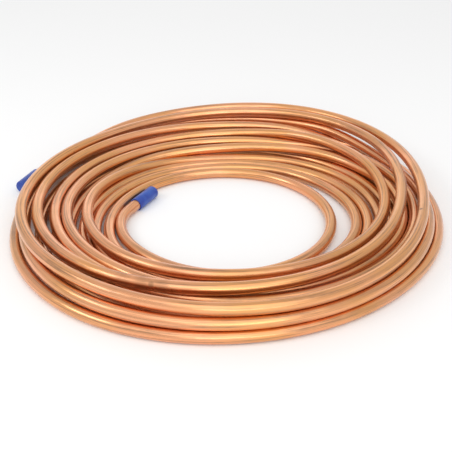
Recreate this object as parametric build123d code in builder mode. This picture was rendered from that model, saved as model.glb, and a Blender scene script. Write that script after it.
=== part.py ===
"""A loose coil of soft copper tube, lying flat, with a closed plug cap on each end of the tube.

Millimetres, +Z up. The origin is on the floor, in the middle of the coil, and the front of the
coil is towards -Y. Each turn is a ring with its own axis: the floor turns lie side by side and
closest at the front, and the upper turns lie on them, out of line with them, as they do in a
coil that was opened a little and set down.
"""
import os
from itertools import pairwise
from math import atan2, degrees
from typing import NamedTuple

from build123d import *

# The tube
tube_diameter = 12.7
tube_wall = 0.81

# How far the outermost turn's centreline reaches forward of the origin, and the room between
# turns, side by side at the front and one over another
front_reach = 246.0
front_gap = 0.5
layer_gap = 0.1


class Turn(NamedTuple):
    """A turn: its layer, its place at the front and where its axis lies.

    The place counts the floor turns from the innermost one, with a half for the groove between
    two of them. The axis is given by how far it lies to the right and to the back.
    """

    layer: int
    place: float
    right: float
    back: float

    @property
    def centre(self):
        """The centre of the turn's centreline."""
        return Vector(self.right, self.back, tube_radius + self.layer * layer_step)

    @property
    def radius(self):
        """The radius of the turn's centreline, which reaches as far forward as its place says."""
        return front_reach - (len(floor_turns) - self.place) * turn_step + self.back

    @property
    def front(self):
        """Where the centreline crosses the plane of the core, as (Y, Z)."""
        return Vector(self.back - self.radius, self.centre.Z)


# The innermost turn, and the floor turns from the second one to the outermost
innermost = Turn(0, 0, 5.0, -36.0)
floor_turns = (
    Turn(0, 1, 6.5, -31.0),
    Turn(0, 2, 6.5, -31.0),
    Turn(0, 3, 6.5, -31.0),
    Turn(0, 4, 5.0, -25.0),
    Turn(0, 5, 4.0, -19.5),
    Turn(0, 6, 2.5, -8.0),
    Turn(0, 7, 3.5, -5.0),
)
# The turns that lie on them, in the first and the second layer
upper_turns = (
    Turn(1, 1.5, 14.0, -3.5),
    Turn(1, 3.5, 13.0, -9.0),
    Turn(1, 4.5, 13.5, -7.0),
    Turn(1, 7.0, 4.5, -14.5),
    Turn(2, 4.0, -4.5, 10.0),
    Turn(2, 6.0, -1.0, 4.5),
)
# The core that ties the turns together inside the front of the coil
core_thickness = 3.0
core_width = 24.0

# The innermost turn, by angles round the eye from +X towards +Y
innermost_start_angle = 190.0
innermost_sweep = 260.0
inner_end_bend_radius = 78.0
inner_end_bend_sweep = 37.0
inner_merge_radius = 170.0
inner_merge_sweep = 43.0

# The outer end of the tube, by angles round the outermost turn's axis
outer_end_gap = 0.8
outer_end_angle = 162.0
outer_end_sweep = 60.0
outer_merge_radius = 190.0
outer_merge_sweep = 42.0

# The plug caps, and how deep the tube's end sits in them
cap_wall = 1.1
cap_length = 39.0
cap_end_thickness = 3.0
cap_tip_round = 2.6
cap_rim_round = 0.4

tube_radius = tube_diameter / 2
bore_radius = tube_radius - tube_wall
straight_end = cap_length - cap_end_thickness
cap_radius = tube_radius + cap_wall
end_height = cap_radius
turn_step = tube_diameter + front_gap
layer_step = tube_diameter + layer_gap
outermost = floor_turns[-1]
innermost_radius = innermost.radius
outer_end_radius = outermost.radius + tube_radius + cap_radius + outer_end_gap


def turn_below(turn):
    """The turn of the next lower layer that lies nearest to a turn at the front."""
    lower = [other for other in floor_turns + upper_turns if other.layer == turn.layer - 1]
    return min(lower, key=lambda other: abs(other.front.X - turn.front.X))


def along(centre, radius, angle):
    """The point on a circle about a centre, at an angle from +X towards +Y."""
    return centre + Vector(radius, 0, 0).rotate(Axis.Z, angle)


def facing(curve, position, backwards=False):
    """The plane across a curve at a position from 0 to 1."""
    direction = curve % position
    return Plane(origin=curve @ position, z_dir=-direction if backwards else direction)


# Both ends lie as high as their caps need
eye = Vector(innermost.right, innermost.back, end_height)
middle = Vector(outermost.right, outermost.back, end_height)

# The inner end: a straight end for the cap, a bend, most of a turn, and the way to the second one
bend_centre = along(eye, innermost_radius - inner_end_bend_radius, innermost_start_angle)
bend_angle = innermost_start_angle - inner_end_bend_sweep
merge_angle = innermost_start_angle + innermost_sweep
merge_centre = along(eye, innermost_radius - inner_merge_radius, merge_angle)
with BuildLine() as inner_run:
    bend = CenterArc(bend_centre, inner_end_bend_radius, bend_angle, inner_end_bend_sweep)
    inner_tip = bend @ 0 - (bend % 0) * straight_end
    Line(inner_tip, bend @ 0)
    CenterArc(eye, innermost_radius, innermost_start_angle, innermost_sweep)
    CenterArc(merge_centre, inner_merge_radius, merge_angle, inner_merge_sweep)
with BuildLine() as inner_straight:
    Line(inner_tip, bend @ 0)

# The outer end: a straight end for the cap, and a curve that leaves the outermost turn
leave_angle = outer_end_angle - outer_end_sweep
leave_centre = along(middle, outer_end_radius - outer_merge_radius, leave_angle)
with BuildLine() as outer_run:
    CenterArc(leave_centre, outer_merge_radius, leave_angle - outer_merge_sweep, outer_merge_sweep)
    curve = CenterArc(middle, outer_end_radius, leave_angle, outer_end_sweep)
    outer_tip = curve @ 1 + (curve % 1) * straight_end
    Line(curve @ 1, outer_tip)
with BuildLine() as outer_straight:
    Line(outer_tip, curve @ 1)

with BuildPart() as copper_tube:
    # The turns
    for turn in floor_turns + upper_turns:
        with BuildSketch(Plane(origin=turn.centre, x_dir=(1, 0, 0), z_dir=(0, -1, 0))):
            with Locations((turn.radius, 0)):
                Circle(tube_radius)
        revolve(axis=Axis(turn.centre, (0, 0, 1)))
    # The core, from each floor turn to the next and from each upper turn to the one below it
    ties = list(pairwise((innermost,) + floor_turns))
    ties += [(turn, turn_below(turn)) for turn in upper_turns]
    with BuildSketch(Plane.YZ.offset(innermost.right)):
        for turn, neighbour in ties:
            halfway = (turn.front + neighbour.front) / 2
            reach = neighbour.front - turn.front
            with Locations(Location((halfway.X, halfway.Y), degrees(atan2(reach.Y, reach.X)))):
                Rectangle(reach.length, core_thickness)
    extrude(amount=core_width / 2, both=True)
    # The two ends of the tube, each with its bore open where the cap covers it
    for run in (inner_run, outer_run):
        with BuildSketch(facing(run.wires()[0], 0)):
            Circle(tube_radius)
        sweep(path=run.wires()[0])
    for straight in (inner_straight, outer_straight):
        with BuildSketch(facing(straight.wires()[0], 0)):
            Circle(bore_radius)
        extrude(amount=straight_end, mode=Mode.SUBTRACT)


def plug_cap(straight):
    """A closed cap pushed over a straight end of the tube, up to its blind end."""
    mouth = facing(straight.wires()[0], 1, backwards=True)
    with BuildPart() as cap:
        with BuildSketch(mouth):
            Circle(cap_radius)
        extrude(amount=cap_length)
        along_cap = Axis(mouth.origin, mouth.z_dir)
        ends = cap.edges().filter_by(GeomType.CIRCLE).group_by(along_cap)
        fillet(ends[-1], radius=cap_tip_round)
        with BuildSketch(mouth):
            Circle(tube_radius)
        extrude(amount=straight_end, mode=Mode.SUBTRACT)
        rim = cap.edges().filter_by(GeomType.CIRCLE).group_by(along_cap)[0].sort_by(SortBy.RADIUS)[-1]
        fillet(rim, radius=cap_rim_round)
    return cap


inner_end_cap = plug_cap(inner_straight)
outer_end_cap = plug_cap(outer_straight)

copper_tube.part.label = "copper_tube"
inner_end_cap.part.label = "inner_end_cap"
outer_end_cap.part.label = "outer_end_cap"
os.makedirs("parts", exist_ok=True)
export_step(copper_tube.part, "parts/copper_tube.step")
export_step(inner_end_cap.part, "parts/inner_end_cap.step")
export_step(outer_end_cap.part, "parts/outer_end_cap.step")
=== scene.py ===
"""A loose coil of soft copper tube, lying flat, with a vinyl plug cap on each end of the tube.

Metres, +Z up. The origin is on the floor, in the middle of the coil, and the front of the coil
is towards -Y. The tube is one piece: it is wound turn by turn round the eye, its turns settle
beside and on one another, and its two ends run straight into their caps.
"""

import logging
import math
from dataclasses import dataclass, field
from enum import Enum

import bmesh
import bpy
import numpy as np
from mathutils import Euler, Matrix, Vector


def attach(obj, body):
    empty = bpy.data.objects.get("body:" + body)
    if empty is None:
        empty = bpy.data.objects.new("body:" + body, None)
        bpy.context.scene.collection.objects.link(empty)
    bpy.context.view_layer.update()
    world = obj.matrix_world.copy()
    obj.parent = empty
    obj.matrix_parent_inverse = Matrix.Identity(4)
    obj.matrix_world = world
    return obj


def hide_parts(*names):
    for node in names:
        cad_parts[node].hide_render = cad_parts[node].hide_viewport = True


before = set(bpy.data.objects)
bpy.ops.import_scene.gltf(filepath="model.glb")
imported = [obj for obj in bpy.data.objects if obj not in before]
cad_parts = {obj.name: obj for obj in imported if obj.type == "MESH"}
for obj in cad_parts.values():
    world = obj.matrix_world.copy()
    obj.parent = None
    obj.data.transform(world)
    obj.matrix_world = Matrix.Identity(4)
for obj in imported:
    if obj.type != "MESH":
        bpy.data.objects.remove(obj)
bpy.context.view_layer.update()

log = logging.getLogger("copper_tube_coil")

MM = 0.001
FULL_TURN = 360.0
NEAR = 0.01 * MM


def facing(place: tuple, target: tuple) -> Euler:
    """The turn with which a lamp or camera at a place looks at a target."""
    return (Vector(place) - Vector(target)).to_track_quat("Z", "Y").to_euler()


class Finish(Enum):
    """The record's material slots."""

    COPPER = "copper"
    CAP_VINYL = "cap_vinyl"


class Channel:
    """A shader value that maths is written on."""

    def __init__(self, shader: "Shader", socket: bpy.types.NodeSocket) -> None:
        """Wraps one output socket of a shader's nodes."""
        self.shader = shader
        self.socket = socket

    def _maths(self, operation: str, *values: "Channel | float") -> "Channel":
        """Adds one Math node.

        Args:
            operation: the Math node's operation.
            values: what goes into its sockets, in order.

        Returns:
            The node's result.
        """
        return self.shader.add("ShaderNodeMath", {"operation": operation}, dict(enumerate(values)))

    def __add__(self, other: "Channel | float") -> "Channel":
        """The sum."""
        return self._maths("ADD", self, other)

    def __sub__(self, other: "Channel | float") -> "Channel":
        """The difference."""
        return self._maths("SUBTRACT", self, other)

    def __mul__(self, other: "Channel | float") -> "Channel":
        """The product."""
        return self._maths("MULTIPLY", self, other)

    def __radd__(self, other: float) -> "Channel":
        """The sum, with the number first."""
        return self._maths("ADD", other, self)

    def __rsub__(self, other: float) -> "Channel":
        """The difference, with the number first."""
        return self._maths("SUBTRACT", other, self)

    def __rmul__(self, other: float) -> "Channel":
        """The product, with the number first."""
        return self._maths("MULTIPLY", other, self)

    def cosine(self) -> "Channel":
        """The cosine of an angle in radians."""
        return self._maths("COSINE", self)

    def sine(self) -> "Channel":
        """The sine of an angle in radians."""
        return self._maths("SINE", self)

    def maximum(self, other: "Channel | float") -> "Channel":
        """The larger of the two."""
        return self._maths("MAXIMUM", self, other)

    def between(self, edges: tuple) -> "Channel":
        """A smooth step from 0 to 1.

        Args:
            edges: the value that gives 0 and the one that gives 1.

        Returns:
            The step, held to 0..1 outside the range.
        """
        settings = {"interpolation_type": "SMOOTHSTEP"}
        inputs = {0: self, 1: edges[0], 2: edges[1]}
        return self.shader.add("ShaderNodeMapRange", settings, inputs)


class Shader:
    """A material's or the world's node tree, built by calls."""

    def __init__(self, owner: bpy.types.ID) -> None:
        """Clears the owner's node tree and keeps it for the calls below."""
        owner.use_nodes = True
        self.tree = owner.node_tree
        self.tree.nodes.clear()

    def node(self, kind: str, settings: dict, inputs: dict) -> bpy.types.Node:
        """Adds any node.

        Args:
            kind: the node's type.
            settings: its properties, set first.
            inputs: values or channels by socket name or number.

        Returns:
            The node.
        """
        made = self.tree.nodes.new(kind)
        for name, value in settings.items():
            setattr(made, name, value)
        for key, value in inputs.items():
            if isinstance(value, Channel):
                self.tree.links.new(value.socket, made.inputs[key])
            elif value is not None:
                made.inputs[key].default_value = value
        return made

    def add(self, kind: str, settings: dict, inputs: dict, output: int | str = 0) -> Channel:
        """Adds any node and gives one of its outputs.

        Args:
            kind: the node's type.
            settings: its properties.
            inputs: values or channels by socket name or number.
            output: which output is wanted.

        Returns:
            The output as a channel.
        """
        return Channel(self, self.node(kind, settings, inputs).outputs[output])

    def mix(self, factor: "Channel | float", first: object, second: object) -> Channel:
        """Mixes two colours.

        Args:
            factor: 0 gives the first, 1 the second.
            first: a colour or a channel.
            second: a colour or a channel.

        Returns:
            The mixed colour.
        """
        inputs = {0: factor, 6: first, 7: second}
        return self.add("ShaderNodeMix", {"data_type": "RGBA"}, inputs, 2)

    def place(self) -> Channel:
        """Where the surface is, in metres from the origin."""
        return self.add("ShaderNodeTexCoord", {}, {}, "Object")

    def noise(self, vector: Channel, scale: float, detail: float = 2.0) -> Channel:
        """A noise pattern, about 0.5 on average.

        Args:
            vector: where it is read.
            scale: how fine it is.
            detail: how many finer copies are laid over it.

        Returns:
            The pattern.
        """
        inputs = {"Vector": vector, "Scale": scale, "Detail": detail}
        return self.add("ShaderNodeTexNoise", {}, inputs)


@dataclass(frozen=True)
class Copper:
    """Drawn copper: streaks along the tube, uneven lustre, a slow wave in it and a few marks.

    The edges are where a pattern starts to show and where it shows in full.
    """

    rosy: tuple = (0.91, 0.415, 0.20, 1.0)
    golden: tuple = (0.84, 0.395, 0.14, 1.0)
    tarnish: tuple = (0.40, 0.20, 0.10, 1.0)
    smudge: tuple = (0.24, 0.115, 0.055, 1.0)
    roughness: float = 0.33
    roughness_spread: float = 0.26
    smudge_roughness: float = 0.25
    coat: float = 0.7
    coat_roughness: float = 0.16
    streak_stretch: float = 2.5
    band_scale: float = 1.6
    band_edges: tuple = (0.48, 0.66)
    band_share: float = 0.4
    streak_scale: float = 5.0
    streak_edges: tuple = (0.50, 0.64)
    streak_share: float = 0.8
    patch_scale: float = 9.0
    patch_edges: tuple = (0.40, 0.60)
    mottle_scale: float = 110.0
    least_tarnish: float = 0.4
    mottled_tarnish: float = 0.9
    mark_raggedness: float = 1.1
    mark_core: float = 0.2
    wave_scale: float = 17.0
    wave_depth: float = 0.0022
    dent_scale: float = 48.0
    dent_depth: float = 0.0005
    line_scale: float = 16.0
    line_depth: float = 0.000022

    def build(self, marks: list[tuple]) -> bpy.types.Material:
        """Makes the material.

        Args:
            marks: where the tube is smudged, each as a place, a size and a strength.

        Returns:
            The material.
        """
        material = bpy.data.materials.new(Finish.COPPER.value)
        shader = Shader(material)
        place = shader.place()
        streaky = self._streaky(shader)
        bands = shader.noise(streaky, self.band_scale)
        streaks = shader.noise(streaky, self.streak_scale, 3.0)
        patches = shader.noise(place, self.patch_scale)
        mottle = shader.noise(place, self.mottle_scale, 3.0)

        colour = shader.mix(patches.between(self.patch_edges), self.rosy, self.golden)
        dulling = bands.between(self.band_edges) * self.band_share
        dulling = dulling + streaks.between(self.streak_edges) * self.streak_share
        dulling = dulling * (self.least_tarnish + mottle * self.mottled_tarnish)
        colour = shader.mix(dulling, colour, self.tarnish)
        smudge = self._smudges(shader, place, mottle, marks)
        colour = shader.mix(smudge, colour, self.smudge)

        rough = self.roughness + (streaks - 0.5) * self.roughness_spread
        rough = rough + (patches - 0.5) * self.roughness_spread + smudge * self.smudge_roughness
        inputs = {
            "Base Color": colour,
            "Metallic": 1.0,
            "Roughness": rough,
            "Normal": self._relief(shader, place, streaky),
            "Coat Weight": self.coat,
            "Coat Roughness": self.coat_roughness,
        }
        surface = shader.add("ShaderNodeBsdfPrincipled", {}, inputs)
        shader.node("ShaderNodeOutputMaterial", {}, {"Surface": surface})
        return material

    def _streaky(self, shader: Shader) -> Channel:
        """Reads the tube's own map, so that a pattern on it runs along the tube.

        Args:
            shader: the material's shader.

        Returns:
            The place round the tube and along it, where a pattern comes out long and thin.
        """
        tube_map = shader.add("ShaderNodeUVMap", {"uv_map": CopperTube.MAP}, {})
        split = shader.node("ShaderNodeSeparateXYZ", {}, {0: tube_map})
        length = Channel(shader, split.outputs[0])
        turn = Channel(shader, split.outputs[1]) * (2 * math.pi)
        around = {"X": turn.cosine(), "Y": turn.sine(), "Z": length * self.streak_stretch}
        return shader.add("ShaderNodeCombineXYZ", {}, around)

    def _relief(self, shader: Shader, place: Channel, streaky: Channel) -> Channel:
        """Makes the slow wave in the tube, its small dents and its drawn lines.

        Args:
            shader: the material's shader.
            place: where the surface is.
            streaky: the place round the tube and along it.

        Returns:
            The surface's normal.
        """
        normal = None
        for depth, height in (
            (self.wave_depth, shader.noise(place, self.wave_scale, 1.0)),
            (self.dent_depth, shader.noise(place, self.dent_scale, 1.0)),
            (self.line_depth, shader.noise(streaky, self.line_scale)),
        ):
            inputs = {"Strength": 1.0, "Distance": depth, "Height": height, "Normal": normal}
            normal = shader.add("ShaderNodeBump", {}, inputs)
        return normal

    def _smudges(
        self, shader: Shader, place: Channel, mottle: Channel, marks: list[tuple]
    ) -> Channel:
        """Lays the marks over one another.

        Args:
            shader: the material's shader.
            place: where the surface is.
            mottle: a fine pattern that breaks up their edges.
            marks: the marks, each as a place, a size and a strength.

        Returns:
            How dark the surface is.
        """
        total = None
        for centre, size, strength in marks:
            inputs = {0: place, 1: centre}
            away = shader.add("ShaderNodeVectorMath", {"operation": "DISTANCE"}, inputs, "Value")
            ragged = away + (mottle - 0.5) * (self.mark_raggedness * size)
            dark = (1.0 - ragged.between((size * self.mark_core, size))) * strength
            total = dark if total is None else total.maximum(dark)
        return total


@dataclass(frozen=True)
class CapVinyl:
    """Smooth soft vinyl with a faint moulded grain."""

    body: tuple = (0.030, 0.095, 0.42, 1.0)
    shade: tuple = (0.014, 0.040, 0.30, 1.0)
    cloud_scale: float = 60.0
    cloud_edges: tuple = (0.35, 0.7)
    roughness: float = 0.34
    roughness_spread: float = 0.2
    grain_scale: float = 900.0
    grain_depth: float = 0.00012

    def build(self) -> bpy.types.Material:
        """Makes the material.

        Returns:
            The material.
        """
        material = bpy.data.materials.new(Finish.CAP_VINYL.value)
        shader = Shader(material)
        place = shader.place()
        cloud = shader.noise(place, self.cloud_scale)
        grain = shader.noise(place, self.grain_scale)
        colour = shader.mix(cloud.between(self.cloud_edges), self.body, self.shade)
        rough = self.roughness + (cloud - 0.5) * self.roughness_spread
        bump = {"Strength": 1.0, "Distance": self.grain_depth, "Height": grain}
        inputs = {
            "Base Color": colour,
            "Roughness": rough,
            "Normal": shader.add("ShaderNodeBump", {}, bump),
        }
        surface = shader.add("ShaderNodeBsdfPrincipled", {}, inputs)
        shader.node("ShaderNodeOutputMaterial", {}, {"Surface": surface})
        return material


@dataclass(frozen=True)
class Mark:
    """A smudge on the tube, by its turn, its angle round the coil and its tilt off the tube's top.

    The tilt is in degrees, outward. The size is in millimetres, and the strength goes up to 1.
    """

    turn: int
    angle: float
    tilt: float
    size: float
    strength: float


@dataclass(frozen=True)
class Turn:
    """One turn of the tube at eight places, from the left through the front, right and back.

    The radii are in millimetres from the coil's centre. The layers count diameters above the
    floor. Between them more places are given where the tube bends, each as its angle, radius
    and layer.
    """

    radii: tuple
    layers: tuple
    between: tuple = ()

    def stations(self, first: float) -> list:
        """Lists the turn's places in the order in which the tube passes them.

        Args:
            first: the angle at which a turn starts.

        Returns:
            The angle from the turn's start, the radius and the layer of each place.
        """
        count = len(self.radii)
        places = [
            (FULL_TURN * number / count, radius, layer)
            for number, (radius, layer) in enumerate(zip(self.radii, self.layers))
        ]
        for angle, radius, layer in self.between:
            places.append(((angle - first) % FULL_TURN, radius, layer))
        return sorted(places)


@dataclass
class Winding:
    """The tube's line: every turn in order, from the inner end to the outer one.

    The line is drawn through its places in so many samples a turn. Then it settles, round by
    round: samples that lie inside another turn are pushed off it, and in the first part of the
    rounds each is also pulled back towards its place. The two ends stay in their caps, and the
    line comes loose over a number of samples next to them.
    """

    diameter: float = 12.7
    centre: tuple = (2.0, -18.0)
    samples: int = 128
    least_gap: float = 5.0
    clearance: float = 1.01
    rounds: int = 500
    push: float = 1.2
    push_smoothing: int = 3
    pull: float = 0.01
    pulled_share: float = 0.7
    rounds_between_easing: int = 5
    loosening: float = 20.0
    first_turn: float = 180.0
    turns: tuple = (
        Turn((112, 128, 135.5, 132, 119.5, 105, 98.5, 107), (0,) * 8),
        Turn((127, 148, 149, 153, 151, 129, 111.5, 121), (0,) * 8, ((337.5, 163, 0),)),
        Turn((143.5, 160.5, 162, 163, 163.5, 141, 124.5, 134), (0,) * 8),
        Turn((157, 173, 175, 177.5, 179.5, 164, 137.5, 147), (0, 0, 0, 0, 0, 0, 0, 0.5)),
        Turn(
            (157.5, 157, 151, 163, 185, 194, 190, 194),
            (1, 1, 0.9, 1, 1.2, 1.5, 1.15, 1),
            ((337.5, 175, 1.1), (22.5, 194, 1.35), (67.5, 192, 1.45)),
        ),
        Turn(
            (195.5, 188, 194, 205, 217, 205, 169, 174),
            (1, 1, 1, 1, 1, 0.9, 1, 1),
            ((67.5, 180, 0.9),),
        ),
        Turn((181.7, 176.5, 181, 192, 203, 182, 146, 158), (1, 1, 1, 1, 1, 1, 1, 0.5)),
        Turn((174, 185, 188.5, 190, 190, 182, 168, 176), (0,) * 8),
        Turn((189, 198, 201.5, 203, 203, 202, 206, 214), (0,) * 8),
        Turn((210, 213, 215, 217, 218, 226, 236, 240), (0,) * 8),
        Turn(
            (236, 239, 228.5, 229, 245, 262, 208, 212),
            (0, 0, 0, 0, 0, 0, 1.6, 1.7),
            ((22.5, 252, 0), (67.5, 232, 0.95)),
        ),
        Turn(
            (213.5, 204, 190, 191, 200, 254, 245, 225),
            (1.7, 1.7, 1.87, 2, 2, 2.2, 2.05, 2),
            ((22.5, 226, 2), (67.5, 252, 2.35)),
        ),
        Turn(
            (229.5, 223, 222, 221, 224.5, 270, 265, 240),
            (2, 2, 2, 2, 2, 2.2, 2.1, 1.2),
            ((22.5, 248, 2), (67.5, 275, 2.35)),
        ),
        Turn(
            (223, 232, 226, 227, 231, 247, 253, 248),
            (1, 1, 1, 1, 1, 0.15, 1, 0.75),
            ((67.5, 254, 0.95),),
        ),
    )

    def line(self, inner: list[Vector], outer: list[Vector]) -> tuple[np.ndarray, np.ndarray]:
        """Works out the settled line of the tube.

        Args:
            inner: points of the inner end in millimetres, from its blind end to its first bend.
            outer: points of the outer end, from its mouth to its blind end.

        Returns:
            Points along the tube in millimetres, one row each, and their angles.
        """
        angles, radii, heights = self._stations(inner, outer)
        step = FULL_TURN / self.samples
        places = np.arange(math.ceil(angles[0] / step), math.floor(angles[-1] / step) + 1) * step
        reach = self._through(angles, radii, places)
        height = np.maximum(self._through(angles, heights, places), self.diameter / 2)
        reach, height = self._settle(reach, height)
        turned = np.radians(places)
        across = self.centre[0] + reach * np.cos(turned)
        ahead = self.centre[1] + reach * np.sin(turned)
        return np.stack([across, ahead, height], axis=1), places

    def _stations(self, inner: list[Vector], outer: list[Vector]) -> tuple:
        """Lists every place that the line passes, the two ends among them.

        Args:
            inner: points of the inner end.
            outer: points of the outer end.

        Returns:
            The angles, the radii and the heights.
        """
        rows = [self._polar(point) for point in inner]
        for number, turn in enumerate(self.turns):
            for place, radius, layer in turn.stations(self.first_turn):
                angle = self.first_turn + FULL_TURN * number + place
                if angle > rows[-1][0] + self.least_gap:
                    rows.append((angle, radius, self.diameter * (0.5 + layer)))
        for point in outer:
            angle, radius, height = self._polar(point)
            while angle < rows[-1][0]:
                angle += FULL_TURN
            rows.append((angle, radius, height))
        return tuple(np.array(column) for column in zip(*rows))

    def _polar(self, point: Vector) -> tuple:
        """The angle, radius and height of a point about the coil's centre."""
        x, y = point[0] - self.centre[0], point[1] - self.centre[1]
        return math.degrees(math.atan2(y, x)) % FULL_TURN, math.hypot(x, y), point[2]

    @staticmethod
    def _through(known: np.ndarray, values: np.ndarray, wanted: np.ndarray) -> np.ndarray:
        """Draws a smooth curve through known values.

        Args:
            known: the angles of the known values, rising.
            values: the known values.
            wanted: the angles to read.

        Returns:
            The natural cubic curve's values there.
        """
        count = len(known)
        gaps = np.diff(known)
        matrix = np.eye(count)
        right = np.zeros(count)
        for i in range(1, count - 1):
            matrix[i, i - 1 : i + 2] = gaps[i - 1], 2 * (gaps[i - 1] + gaps[i]), gaps[i]
            after = (values[i + 1] - values[i]) / gaps[i]
            before = (values[i] - values[i - 1]) / gaps[i - 1]
            right[i] = 6 * (after - before)
        bends = np.linalg.solve(matrix, right)
        spans = np.clip(np.searchsorted(known, wanted) - 1, 0, count - 2)
        gap = gaps[spans]
        ahead = wanted - known[spans]
        bend, next_bend = bends[spans], bends[spans + 1]
        slope = (values[spans + 1] - values[spans]) / gap - gap * (2 * bend + next_bend) / 6
        curve = values[spans] + ahead * slope + ahead**2 * bend / 2
        return curve + ahead**3 * (next_bend - bend) / (6 * gap)

    def _settle(self, reach: np.ndarray, height: np.ndarray) -> tuple[np.ndarray, np.ndarray]:
        """Moves turns off one another, above the floor, in a set number of rounds.

        With the turns above, a few still overlap afterwards, by less than 0.25 mm.

        Args:
            reach: the radius at every sample.
            height: the height at every sample.

        Returns:
            The settled radii and heights.
        """
        chosen = reach.copy()
        count = len(reach)
        order = np.arange(count)
        free = np.clip(np.minimum(order, order[::-1]) / self.loosening - 0.5, 0, 1)
        apart = self.diameter * self.clearance
        for number in range(self.rounds):
            outward = np.zeros(count)
            upward = np.zeros(count)
            touches = np.zeros(count)
            for offset in range(self.samples, count, self.samples):
                inner, outer = slice(0, count - offset), slice(offset, count)
                x, z = reach[outer] - reach[inner], height[outer] - height[inner]
                distance = np.hypot(x, z) + 1e-9
                overlap = np.maximum(apart - distance, 0) / 2
                for side, sign in ((inner, -1), (outer, 1)):
                    outward[side] += sign * x / distance * overlap
                    upward[side] += sign * z / distance * overlap
                    touches[side] += overlap > 0
            share = self.push / np.maximum(touches, 1)
            outward = self._smooth(outward * share, self.push_smoothing)
            upward = self._smooth(upward * share, self.push_smoothing)
            if number < self.pulled_share * self.rounds:
                outward += (chosen - reach) * self.pull
            reach = reach + outward * free
            height = height + upward * free
            if number % self.rounds_between_easing == 0:
                reach += (self._smooth(reach, 1) - reach) * free / 2
                height += (self._smooth(height, 1) - height) * free / 2
            height = np.where(free > 0, np.maximum(height, self.diameter / 2), height)
        return reach, height

    @staticmethod
    def _smooth(values: np.ndarray, times: int) -> np.ndarray:
        """Evens out values along the tube.

        Args:
            values: a value at every sample.
            times: how often they are evened out.

        Returns:
            The evened values.
        """
        kernel = np.array([1, 4, 6, 4, 1]) / 16
        for _ in range(times):
            values = np.convolve(np.pad(values, 2, mode="edge"), kernel, "valid")
        return values


@dataclass
class PlugCap:
    """A closed vinyl cap pushed over one end of the tube, built where its CAD node lies."""

    node: str
    tube_radius: float = 6.35 * MM
    end_thickness: float = 3.0 * MM
    tip_round: float = 2.6 * MM
    tip_segments: int = 6
    rim_round: float = 0.35 * MM
    rim_segments: int = 3
    steps: int = 48
    face_depth: float = 0.05 * MM
    seat_shares: tuple = (0.97, 0.5, 0.0)
    merge_distance: float = 1e-6
    mouth: Vector = field(init=False)
    tip: Vector = field(init=False)
    radius: float = field(init=False)

    def __post_init__(self) -> None:
        """Reads the cap's axis, length and radius from its node.

        The axis goes through the middle of the node's box, along the spread of its corners. It
        may lie up to 0.3 mm to one side. The radius is the largest distance from it, and comes
        out that much too large. The tip is the end whose flat face is the smaller one, because
        its rim is rounded more.
        """
        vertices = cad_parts[self.node].data.vertices
        points = np.array([vertex.co for vertex in vertices])
        middle = (points.min(axis=0) + points.max(axis=0)) / 2
        axis = np.linalg.svd(points - points.mean(axis=0), full_matrices=False)[2][0]
        along = (points - middle) @ axis
        off_axis = np.linalg.norm(points - middle - along[:, None] * axis, axis=1)
        ends = []
        for sign in (1, -1):
            level = (sign * along).max()
            at_face = sign * along > level - self.face_depth
            ends.append((off_axis[at_face].max(), sign * level))
        ends.sort()
        self.tip = Vector(middle + axis * ends[0][1])
        self.mouth = Vector(middle + axis * ends[1][1])
        self.radius = float(off_axis.max())

    @property
    def inward(self) -> Vector:
        """The direction from the mouth to the tip."""
        return (self.tip - self.mouth).normalized()

    def seat(self) -> list[Vector]:
        """The tube's points in the cap, in millimetres, from its blind end to the mouth."""
        depth = (self.tip - self.mouth).length - self.end_thickness
        return [(self.mouth + self.inward * depth * share) / MM for share in self.seat_shares]

    def build(self, material: bpy.types.Material) -> bpy.types.Object:
        """Spins the cap's section and lays it where the node lies.

        Args:
            material: the cap's finish.

        Returns:
            The cap.
        """
        length = (self.tip - self.mouth).length
        depth = length - self.end_thickness
        shape = bmesh.new()
        section = [
            (0.0, depth),
            (self.tube_radius, depth),
            (self.tube_radius, 0.0),
            (self.radius, 0.0),
            (self.radius, length),
            (0.0, length),
        ]
        corners = [shape.verts.new((across, 0.0, along)) for across, along in section]
        for first, second in zip(corners, corners[1:]):
            shape.edges.new((first, second))
        bmesh.ops.spin(
            shape,
            geom=shape.verts[:] + shape.edges[:],
            cent=(0, 0, 0),
            axis=(0, 0, 1),
            angle=2 * math.pi,
            steps=self.steps,
            use_merge=True,
        )
        bmesh.ops.remove_doubles(shape, verts=shape.verts[:], dist=self.merge_distance)
        bmesh.ops.recalc_face_normals(shape, faces=shape.faces[:])
        self._round_ring(shape, length, self.tip_round, self.tip_segments)
        self._round_ring(shape, 0.0, self.rim_round, self.rim_segments)
        turn = Vector((0, 0, 1)).rotation_difference(self.inward).to_matrix().to_4x4()
        laid = Matrix.Translation(self.mouth) @ turn
        bmesh.ops.transform(shape, matrix=laid, verts=shape.verts[:])
        mesh = bpy.data.meshes.new(self.node + "_dressed")
        shape.to_mesh(mesh)
        shape.free()
        mesh.shade_smooth()
        mesh.materials.append(material)
        cap = bpy.data.objects.new(self.node + "_dressed", mesh)
        bpy.context.scene.collection.objects.link(cap)
        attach(cap, "root")
        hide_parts(self.node)
        log.info("%s: %d faces", cap.name, len(mesh.polygons))
        return cap

    def _round_ring(
        self, shape: bmesh.types.BMesh, level: float, size: float, segments: int
    ) -> None:
        """Rounds the cap's outer corner at one end.

        Args:
            shape: the cap before it is laid in place.
            level: how far along the cap the corner is.
            size: the size of the rounding.
            segments: how finely it is rounded.
        """
        ring = [
            edge
            for edge in shape.edges
            if all(
                abs(vertex.co.z - level) < NEAR
                and abs(math.hypot(vertex.co.x, vertex.co.y) - self.radius) < NEAR
                for vertex in edge.verts
            )
        ]
        bmesh.ops.bevel(
            shape,
            geom=ring,
            offset=size,
            affect="EDGES",
            segments=segments,
            profile=0.5,
            material=-1,
        )


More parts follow.
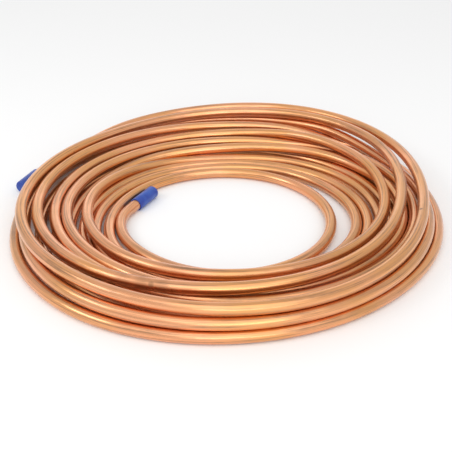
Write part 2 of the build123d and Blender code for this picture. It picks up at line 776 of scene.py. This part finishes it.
@dataclass
class CopperTube:
    """The whole tube, swept along its settled line."""

    MAP = "along_and_around"

    winding: Winding
    caps: tuple[PlugCap, PlugCap]
    rings: int = 10
    marks: tuple = (
        Mark(11, 250, 60, 5.0, 0.7),
        Mark(11, 247, 50, 12.0, 0.4),
        Mark(11, 243, 50, 12.0, 0.32),
        Mark(11, 253, 50, 11.0, 0.36),
        Mark(12, 346, -25, 3.0, 0.95),
        Mark(5, 186, 10, 1.4, 0.5),
        Mark(11, 152, -85, 2.0, 0.4),
        Mark(1, 160, -50, 1.3, 0.6),
        Mark(4, 84, -35, 1.2, 0.5),
        Mark(3, 68, 25, 1.2, 0.5),
        Mark(11, 329, -35, 2.2, 0.35),
        Mark(7, 39, -25, 1.2, 0.5),
    )

    def build(self, finish: Copper) -> bpy.types.Object:
        """Sweeps the tube and dresses it.

        Args:
            finish: the copper.

        Returns:
            The tube.
        """
        inner, outer = self.caps
        line, angles = self.winding.line(inner.seat(), outer.seat()[::-1])
        line = line * MM
        mesh = self._sweep(line)
        self._map(mesh, line)
        mesh.materials.clear()
        marks = [
            (self._place(mark, line, angles), mark.size * MM, mark.strength)
            for mark in self.marks
        ]
        mesh.materials.append(finish.build(marks))
        tube = bpy.data.objects.new("copper_tube_wound", mesh)
        bpy.context.scene.collection.objects.link(tube)
        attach(tube, "root")
        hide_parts("copper_tube")
        metres = float(np.linalg.norm(np.diff(line, axis=0), axis=1).sum())
        log.info("%s: %.2f m of tube, %d faces", tube.name, metres, len(mesh.polygons))
        return tube

    def _sweep(self, line: np.ndarray) -> bpy.types.Mesh:
        """Sweeps a round section along the line and closes both ends.

        Args:
            line: the points that the tube follows, in metres.

        Returns:
            The tube's mesh.
        """
        curve = bpy.data.curves.new("copper_tube_line", "CURVE")
        curve.dimensions = "3D"
        curve.twist_mode = "Z_UP"
        curve.bevel_depth = self.winding.diameter / 2 * MM
        curve.bevel_resolution = self.rings
        curve.use_fill_caps = True
        spline = curve.splines.new("POLY")
        spline.points.add(len(line) - 1)
        rows = np.concatenate([line, np.ones((len(line), 1))], axis=1)
        spline.points.foreach_set("co", rows.ravel())
        holder = bpy.data.objects.new("copper_tube_line", curve)
        bpy.context.scene.collection.objects.link(holder)
        bpy.context.view_layer.update()
        mesh = bpy.data.meshes.new_from_object(holder)
        bpy.data.objects.remove(holder)
        mesh.name = "copper_tube_wound"
        mesh.shade_smooth()
        return mesh

    def _place(self, mark: Mark, line: np.ndarray, angles: np.ndarray) -> tuple:
        """Finds a mark's place on the tube's surface.

        Args:
            mark: the mark.
            line: the points that the tube follows.
            angles: their angles.

        Returns:
            The place in metres.
        """
        wanted = self.winding.first_turn + FULL_TURN * mark.turn
        wanted += (mark.angle - self.winding.first_turn) % FULL_TURN
        centre = Vector(line[int(np.abs(angles - wanted).argmin())])
        turned, tilt = math.radians(mark.angle), math.radians(mark.tilt)
        outward = Vector((math.cos(turned), math.sin(turned), 0.0))
        lift = Vector((0.0, 0.0, 1.0)) * math.cos(tilt) + outward * math.sin(tilt)
        return tuple(centre + lift * self.winding.diameter / 2 * MM)

    def _map(self, mesh: bpy.types.Mesh, line: np.ndarray) -> None:
        """Gives the tube a map: metres along it, and the part of a turn around it.

        Args:
            mesh: the swept tube.
            line: the points that it follows.
        """
        around = 2 * self.rings + 4
        steps = np.linalg.norm(np.diff(line, axis=0), axis=1)
        metres = np.concatenate([[0.0], np.cumsum(steps)])
        starts = np.zeros(len(mesh.polygons), int)
        totals = np.zeros(len(mesh.polygons), int)
        mesh.polygons.foreach_get("loop_start", starts)
        mesh.polygons.foreach_get("loop_total", totals)
        vertices = np.zeros(len(mesh.loops), int)
        mesh.loops.foreach_get("vertex_index", vertices)
        ring = np.minimum(vertices // around, len(line) - 1)
        share = (vertices % around) / around
        for start, total in zip(starts, totals):
            part = share[start : start + total]
            if part.max() - part.min() > 0.5:
                part[part < 0.5] += 1.0
        layer = mesh.uv_layers.new(name=self.MAP)
        layer.uv.foreach_set("vector", np.stack([metres[ring], share], axis=1).ravel())


@dataclass(frozen=True)
class Softbox:
    """A soft lamp: its name, its place, what it faces, its width and height, and its watts."""

    name: str
    place: tuple
    target: tuple
    size: tuple
    watts: float

    def build(self) -> None:
        """Sets up the lamp."""
        data = bpy.data.lights.new(self.name, "AREA")
        data.shape = "RECTANGLE"
        data.size, data.size_y = self.size
        data.energy = self.watts
        lamp = bpy.data.objects.new(self.name, data)
        lamp.location = self.place
        lamp.rotation_euler = facing(self.place, self.target)
        bpy.context.scene.collection.objects.link(lamp)


@dataclass
class Studio:
    """A pale floor, soft light and the camera."""

    focal_length: float = 54.32
    sensor_width: float = 36.0
    camera_place: tuple = (0.003, -0.7154, 0.3970)
    camera_target: tuple = (0.003, -0.044, 0.0)
    floor_half: float = 6.0
    floor_shade: tuple = (0.95, 0.95, 0.95, 1.0)
    world_shade: tuple = (1.0, 1.0, 1.0, 1.0)
    world_strength: float = 0.76
    lamps: tuple = (
        Softbox("front_softbox", (0.45, -2.5, 0.9), (0.0, -0.1, 0.0), (1.8, 0.7), 12.0),
        Softbox("overhead_softbox", (0.1, -1.4, 1.9), (0.0, -0.1, 0.0), (2.6, 1.8), 16.0),
        Softbox("left_softbox", (-1.3, -0.5, 1.1), (0.0, -0.1, 0.0), (0.6, 0.4), 3.5),
        Softbox("back_softbox", (-0.3, 2.6, 0.9), (0.0, 0.0, 0.0), (3.0, 1.0), 5.0),
    )

    def build(self) -> None:
        """Makes the floor, the light and the camera."""
        self._floor()
        self._world()
        for lamp in self.lamps:
            lamp.build()
        self._camera()
        bpy.context.scene.view_settings.view_transform = "Standard"

    def _floor(self) -> None:
        """A plain pale floor, which takes the coil's shadow."""
        shape = bmesh.new()
        bmesh.ops.create_grid(shape, x_segments=1, y_segments=1, size=self.floor_half)
        mesh = bpy.data.meshes.new("floor")
        shape.to_mesh(mesh)
        shape.free()
        material = bpy.data.materials.new("floor")
        shader = Shader(material)
        matt = shader.add("ShaderNodeBsdfDiffuse", {}, {"Color": self.floor_shade})
        shader.node("ShaderNodeOutputMaterial", {}, {"Surface": matt})
        mesh.materials.append(material)
        floor = bpy.data.objects.new("floor", mesh)
        bpy.context.scene.collection.objects.link(floor)

    def _world(self) -> None:
        """Even light from all round."""
        world = bpy.data.worlds.new("studio")
        bpy.context.scene.world = world
        shader = Shader(world)
        inputs = {"Color": self.world_shade, "Strength": self.world_strength}
        light = shader.add("ShaderNodeBackground", {}, inputs)
        shader.node("ShaderNodeOutputWorld", {}, {"Surface": light})

    def _camera(self) -> None:
        """The camera, at the photograph's viewing angle."""
        data = bpy.data.cameras.new("camera")
        data.sensor_width = self.sensor_width
        data.lens = self.focal_length
        camera = bpy.data.objects.new("camera", data)
        camera.location = self.camera_place
        camera.rotation_euler = facing(self.camera_place, self.camera_target)
        bpy.context.scene.collection.objects.link(camera)
        bpy.context.scene.camera = camera


def main() -> None:
    """Builds the coil, its caps and the studio."""
    logging.basicConfig(level=logging.INFO, format="%(name)s: %(message)s")
    vinyl = CapVinyl().build()
    caps = (PlugCap("inner_end_cap"), PlugCap("outer_end_cap"))
    for cap in caps:
        cap.build(vinyl)
    CopperTube(Winding(), caps).build(Copper())
    Studio().build()
    bpy.context.view_layer.update()


if __name__ == "__main__":
    main()
